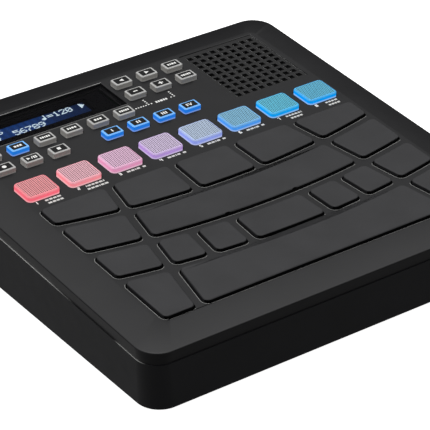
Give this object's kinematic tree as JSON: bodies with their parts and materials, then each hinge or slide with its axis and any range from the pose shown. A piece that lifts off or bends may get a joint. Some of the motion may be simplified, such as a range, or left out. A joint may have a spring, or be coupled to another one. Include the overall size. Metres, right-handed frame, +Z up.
{
  "type": "drum machine",
  "caption": "Square wedge-shaped drum machine with curved rows of finger drum pads, lit function pads, small keys, a character display and a speaker grille.",
  "frame": {"origin": "on the table plane under the middle of the object's bounding box", "axes": "+X to the player's right, +Y to the rear, away from the player, +Z up"},
  "size_m": [0.256, 0.256, 0.0586],
  "materials": {
    "cover_plastic": "fine matte, near black",
    "case_plastic": "fine matte, near black",
    "pad_rubber": "smooth matte dark grey rubber",
    "key_grey": "cloudy light grey",
    "key_blue": "cloudy, lit blue from below",
    "window_clear": "smoked clear plastic",
    "lcd_blue": "blue backlit character display in a black frame",
    "speaker_black": "black paper cone in a painted basket",
    "board_green": "green solder mask",
    "socket_plastic": "black moulded plastic",
    "battery_wrap": "blue shrink wrap",
    "foot_rubber": "matte black rubber",
    "screw_steel": "zinc plated",
    "lit_pad_1": "cloudy silicone, lit from below, fine dark dots on top",
    "lit_pad_2": "cloudy silicone, lit from below, fine dark dots on top",
    "lit_pad_3": "cloudy silicone, lit from below, fine dark dots on top",
    "lit_pad_4": "cloudy silicone, lit from below, fine dark dots on top",
    "lit_pad_5": "cloudy silicone, lit from below, fine dark dots on top",
    "lit_pad_6": "cloudy silicone, lit from below, fine dark dots on top",
    "lit_pad_7": "cloudy silicone, lit from below, fine dark dots on top",
    "lit_pad_8": "cloudy silicone, lit from below, fine dark dots on top"
  },
  "bodies": {
    "case": {"top_cover": "cover_plastic", "bottom_case": "case_plastic", "speaker_grille": "cover_plastic", "speaker_driver": "speaker_black", "display_window": "window_clear", "lcd_module": "lcd_blue", "panel_board": "board_green", "main_board": "board_green", "audio_jacks": "socket_plastic", "battery_pack": "battery_wrap", "rubber_feet": "foot_rubber", "case_screws": "screw_steel", "board_screws": "screw_steel"},
    "drum_pad_1": {"drum_pad_1": "pad_rubber"},
    "drum_pad_2": {"drum_pad_2": "pad_rubber"},
    "drum_pad_3": {"drum_pad_3": "pad_rubber"},
    "drum_pad_4": {"drum_pad_4": "pad_rubber"},
    "drum_pad_5": {"drum_pad_5": "pad_rubber"},
    "drum_pad_6": {"drum_pad_6": "pad_rubber"},
    "drum_pad_7": {"drum_pad_7": "pad_rubber"},
    "drum_pad_8": {"drum_pad_8": "pad_rubber"},
    "drum_pad_9": {"drum_pad_9": "pad_rubber"},
    "drum_pad_10": {"drum_pad_10": "pad_rubber"},
    "drum_pad_11": {"drum_pad_11": "pad_rubber"},
    "drum_pad_12": {"drum_pad_12": "pad_rubber"},
    "drum_pad_13": {"drum_pad_13": "pad_rubber"},
    "drum_pad_14": {"drum_pad_14": "pad_rubber"},
    "drum_pad_15": {"drum_pad_15": "pad_rubber"},
    "drum_pad_16": {"drum_pad_16": "pad_rubber"},
    "drum_pad_17": {"drum_pad_17": "pad_rubber"},
    "drum_pad_18": {"drum_pad_18": "pad_rubber"},
    "lit_pad_1": {"lit_pad_1": "lit_pad_1"},
    "lit_pad_2": {"lit_pad_2": "lit_pad_2"},
    "lit_pad_3": {"lit_pad_3": "lit_pad_3"},
    "lit_pad_4": {"lit_pad_4": "lit_pad_4"},
    "lit_pad_5": {"lit_pad_5": "lit_pad_5"},
    "lit_pad_6": {"lit_pad_6": "lit_pad_6"},
    "lit_pad_7": {"lit_pad_7": "lit_pad_7"},
    "lit_pad_8": {"lit_pad_8": "lit_pad_8"},
    "key_1": {"key_1": "key_grey"},
    "key_2": {"key_2": "key_grey"},
    "key_3": {"key_3": "key_grey"},
    "key_4": {"key_4": "key_grey"},
    "key_5": {"key_5": "key_grey"},
    "key_6": {"key_6": "key_grey"},
    "key_7": {"key_7": "key_grey"},
    "key_8": {"key_8": "key_blue"},
    "key_9": {"key_9": "key_grey"},
    "key_10": {"key_10": "key_grey"},
    "key_11": {"key_11": "key_grey"},
    "key_12": {"key_12": "key_grey"},
    "key_13": {"key_13": "key_grey"},
    "key_14": {"key_14": "key_grey"},
    "key_15": {"key_15": "key_grey"},
    "key_16": {"key_16": "key_blue"},
    "key_17": {"key_17": "key_blue"},
    "key_18": {"key_18": "key_blue"},
    "key_19": {"key_19": "key_blue"},
    "power_button": {"power_button": "socket_plastic"},
    "volume_wheel": {"volume_wheel": "socket_plastic"}
  },
  "joints": [
    {"name": "drum_pad_1_press", "type": "slide", "parent": "case", "child": "drum_pad_1", "axis": [0, -0.0489, 0.9988], "range_m": [-0.0006, 0], "stiffness_N_per_m": 1500, "springref_m": 0.0004},
    {"name": "drum_pad_2_press", "type": "slide", "parent": "case", "child": "drum_pad_2", "axis": [0, -0.0489, 0.9988], "range_m": [-0.0006, 0], "stiffness_N_per_m": 1500, "springref_m": 0.0004},
    {"name": "drum_pad_3_press", "type": "slide", "parent": "case", "child": "drum_pad_3", "axis": [0, -0.0489, 0.9988], "range_m": [-0.0006, 0], "stiffness_N_per_m": 1500, "springref_m": 0.0004},
    {"name": "drum_pad_4_press", "type": "slide", "parent": "case", "child": "drum_pad_4", "axis": [0, -0.0489, 0.9988], "range_m": [-0.0006, 0], "stiffness_N_per_m": 1500, "springref_m": 0.0004},
    {"name": "drum_pad_5_press", "type": "slide", "parent": "case", "child": "drum_pad_5", "axis": [0, -0.0489, 0.9988], "range_m": [-0.0006, 0], "stiffness_N_per_m": 1500, "springref_m": 0.0004},
    {"name": "drum_pad_6_press", "type": "slide", "parent": "case", "child": "drum_pad_6", "axis": [0, -0.0489, 0.9988], "range_m": [-0.0006, 0], "stiffness_N_per_m": 1500, "springref_m": 0.0004},
    {"name": "drum_pad_7_press", "type": "slide", "parent": "case", "child": "drum_pad_7", "axis": [0, -0.0489, 0.9988], "range_m": [-0.0006, 0], "stiffness_N_per_m": 2500, "springref_m": 0.0004},
    {"name": "drum_pad_8_press", "type": "slide", "parent": "case", "child": "drum_pad_8", "axis": [0, -0.0489, 0.9988], "range_m": [-0.0006, 0], "stiffness_N_per_m": 1500, "springref_m": 0.0004},
    {"name": "drum_pad_9_press", "type": "slide", "parent": "case", "child": "drum_pad_9", "axis": [0, -0.0489, 0.9988], "range_m": [-0.0006, 0], "stiffness_N_per_m": 1500, "springref_m": 0.0004},
    {"name": "drum_pad_10_press", "type": "slide", "parent": "case", "child": "drum_pad_10", "axis": [0, -0.0489, 0.9988], "range_m": [-0.0006, 0], "stiffness_N_per_m": 1500, "springref_m": 0.0004},
    {"name": "drum_pad_11_press", "type": "slide", "parent": "case", "child": "drum_pad_11", "axis": [0, -0.0489, 0.9988], "range_m": [-0.0006, 0], "stiffness_N_per_m": 1500, "springref_m": 0.0004},
    {"name": "drum_pad_12_press", "type": "slide", "parent": "case", "child": "drum_pad_12", "axis": [0, -0.0489, 0.9988], "range_m": [-0.0006, 0], "stiffness_N_per_m": 1500, "springref_m": 0.0004},
    {"name": "drum_pad_13_press", "type": "slide", "parent": "case", "child": "drum_pad_13", "axis": [0, -0.0489, 0.9988], "range_m": [-0.0006, 0], "stiffness_N_per_m": 1500, "springref_m": 0.0004},
    {"name": "drum_pad_14_press", "type": "slide", "parent": "case", "child": "drum_pad_14", "axis": [0, -0.0489, 0.9988], "range_m": [-0.0006, 0], "stiffness_N_per_m": 1500, "springref_m": 0.0004},
    {"name": "drum_pad_15_press", "type": "slide", "parent": "case", "child": "drum_pad_15", "axis": [0, -0.0489, 0.9988], "range_m": [-0.0006, 0], "stiffness_N_per_m": 1500, "springref_m": 0.0004},
    {"name": "drum_pad_16_press", "type": "slide", "parent": "case", "child": "drum_pad_16", "axis": [0, -0.0489, 0.9988], "range_m": [-0.0006, 0], "stiffness_N_per_m": 1500, "springref_m": 0.0004},
    {"name": "drum_pad_17_press", "type": "slide", "parent": "case", "child": "drum_pad_17", "axis": [0, -0.0489, 0.9988], "range_m": [-0.0006, 0], "stiffness_N_per_m": 2500, "springref_m": 0.0004},
    {"name": "drum_pad_18_press", "type": "slide", "parent": "case", "child": "drum_pad_18", "axis": [0, -0.0489, 0.9988], "range_m": [-0.0006, 0], "stiffness_N_per_m": 1500, "springref_m": 0.0004},
    {"name": "lit_pad_1_press", "type": "slide", "parent": "case", "child": "lit_pad_1", "axis": [0, -0.0489, 0.9988], "range_m": [-0.001, 0], "stiffness_N_per_m": 800, "springref_m": 0.0005},
    {"name": "lit_pad_2_press", "type": "slide", "parent": "case", "child": "lit_pad_2", "axis": [0, -0.0489, 0.9988], "range_m": [-0.001, 0], "stiffness_N_per_m": 800, "springref_m": 0.0005},
    {"name": "lit_pad_3_press", "type": "slide", "parent": "case", "child": "lit_pad_3", "axis": [0, -0.0489, 0.9988], "range_m": [-0.001, 0], "stiffness_N_per_m": 800, "springref_m": 0.0005},
    {"name": "lit_pad_4_press", "type": "slide", "parent": "case", "child": "lit_pad_4", "axis": [0, -0.0489, 0.9988], "range_m": [-0.001, 0], "stiffness_N_per_m": 800, "springref_m": 0.0005},
    {"name": "lit_pad_5_press", "type": "slide", "parent": "case", "child": "lit_pad_5", "axis": [0, -0.0489, 0.9988], "range_m": [-0.001, 0], "stiffness_N_per_m": 800, "springref_m": 0.0005},
    {"name": "lit_pad_6_press", "type": "slide", "parent": "case", "child": "lit_pad_6", "axis": [0, -0.0489, 0.9988], "range_m": [-0.001, 0], "stiffness_N_per_m": 800, "springref_m": 0.0005},
    {"name": "lit_pad_7_press", "type": "slide", "parent": "case", "child": "lit_pad_7", "axis": [0, -0.0489, 0.9988], "range_m": [-0.001, 0], "stiffness_N_per_m": 800, "springref_m": 0.0005},
    {"name": "lit_pad_8_press", "type": "slide", "parent": "case", "child": "lit_pad_8", "axis": [0, -0.0489, 0.9988], "range_m": [-0.001, 0], "stiffness_N_per_m": 800, "springref_m": 0.0005},
    {"name": "key_1_press", "type": "slide", "parent": "case", "child": "key_1", "axis": [0, -0.0489, 0.9988], "range_m": [-0.001, 0], "stiffness_N_per_m": 600, "springref_m": 0.0005},
    {"name": "key_2_press", "type": "slide", "parent": "case", "child": "key_2", "axis": [0, -0.0489, 0.9988], "range_m": [-0.001, 0], "stiffness_N_per_m": 600, "springref_m": 0.0005},
    {"name": "key_3_press", "type": "slide", "parent": "case", "child": "key_3", "axis": [0, -0.0489, 0.9988], "range_m": [-0.001, 0], "stiffness_N_per_m": 600, "springref_m": 0.0005},
    {"name": "key_4_press", "type": "slide", "parent": "case", "child": "key_4", "axis": [0, -0.0489, 0.9988], "range_m": [-0.001, 0], "stiffness_N_per_m": 600, "springref_m": 0.0005},
    {"name": "key_5_press", "type": "slide", "parent": "case", "child": "key_5", "axis": [0, -0.0489, 0.9988], "range_m": [-0.001, 0], "stiffness_N_per_m": 600, "springref_m": 0.0005},
    {"name": "key_6_press", "type": "slide", "parent": "case", "child": "key_6", "axis": [0, -0.0489, 0.9988], "range_m": [-0.001, 0], "stiffness_N_per_m": 600, "springref_m": 0.0005},
    {"name": "key_7_press", "type": "slide", "parent": "case", "child": "key_7", "axis": [0, -0.0489, 0.9988], "range_m": [-0.001, 0], "stiffness_N_per_m": 600, "springref_m": 0.0005},
    {"name": "key_8_press", "type": "slide", "parent": "case", "child": "key_8", "axis": [0, -0.0489, 0.9988], "range_m": [-0.001, 0], "stiffness_N_per_m": 600, "springref_m": 0.0005},
    {"name": "key_9_press", "type": "slide", "parent": "case", "child": "key_9", "axis": [0, -0.0489, 0.9988], "range_m": [-0.001, 0], "stiffness_N_per_m": 600, "springref_m": 0.0005},
    {"name": "key_10_press", "type": "slide", "parent": "case", "child": "key_10", "axis": [0, -0.0489, 0.9988], "range_m": [-0.001, 0], "stiffness_N_per_m": 600, "springref_m": 0.0005},
    {"name": "key_11_press", "type": "slide", "parent": "case", "child": "key_11", "axis": [0, -0.0489, 0.9988], "range_m": [-0.001, 0], "stiffness_N_per_m": 600, "springref_m": 0.0005},
    {"name": "key_12_press", "type": "slide", "parent": "case", "child": "key_12", "axis": [0, -0.0489, 0.9988], "range_m": [-0.001, 0], "stiffness_N_per_m": 600, "springref_m": 0.0005},
    {"name": "key_13_press", "type": "slide", "parent": "case", "child": "key_13", "axis": [0, -0.0489, 0.9988], "range_m": [-0.001, 0], "stiffness_N_per_m": 600, "springref_m": 0.0005},
    {"name": "key_14_press", "type": "slide", "parent": "case", "child": "key_14", "axis": [0, -0.0489, 0.9988], "range_m": [-0.001, 0], "stiffness_N_per_m": 600, "springref_m": 0.0005},
    {"name": "key_15_press", "type": "slide", "parent": "case", "child": "key_15", "axis": [0, -0.0489, 0.9988], "range_m": [-0.001, 0], "stiffness_N_per_m": 600, "springref_m": 0.0005},
    {"name": "key_16_press", "type": "slide", "parent": "case", "child": "key_16", "axis": [0, -0.0489, 0.9988], "range_m": [-0.001, 0], "stiffness_N_per_m": 600, "springref_m": 0.0005},
    {"name": "key_17_press", "type": "slide", "parent": "case", "child": "key_17", "axis": [0, -0.0489, 0.9988], "range_m": [-0.001, 0], "stiffness_N_per_m": 600, "springref_m": 0.0005},
    {"name": "key_18_press", "type": "slide", "parent": "case", "child": "key_18", "axis": [0, -0.0489, 0.9988], "range_m": [-0.001, 0], "stiffness_N_per_m": 600, "springref_m": 0.0005},
    {"name": "key_19_press", "type": "slide", "parent": "case", "child": "key_19", "axis": [0, -0.0489, 0.9988], "range_m": [-0.001, 0], "stiffness_N_per_m": 600, "springref_m": 0.0005},
    {"name": "power_button_press", "type": "slide", "parent": "case", "child": "power_button", "axis": [0, 1, 0], "range_m": [-0.0008, 0], "stiffness_N_per_m": 600, "springref_m": 0.0005},
    {"name": "volume_wheel_turn", "type": "hinge", "parent": "case", "child": "volume_wheel", "pos_m": [-0.0627, 0.11799, 0.0201], "axis": [0, 0, 1], "range_deg": [-140, 140]}
  ]
}
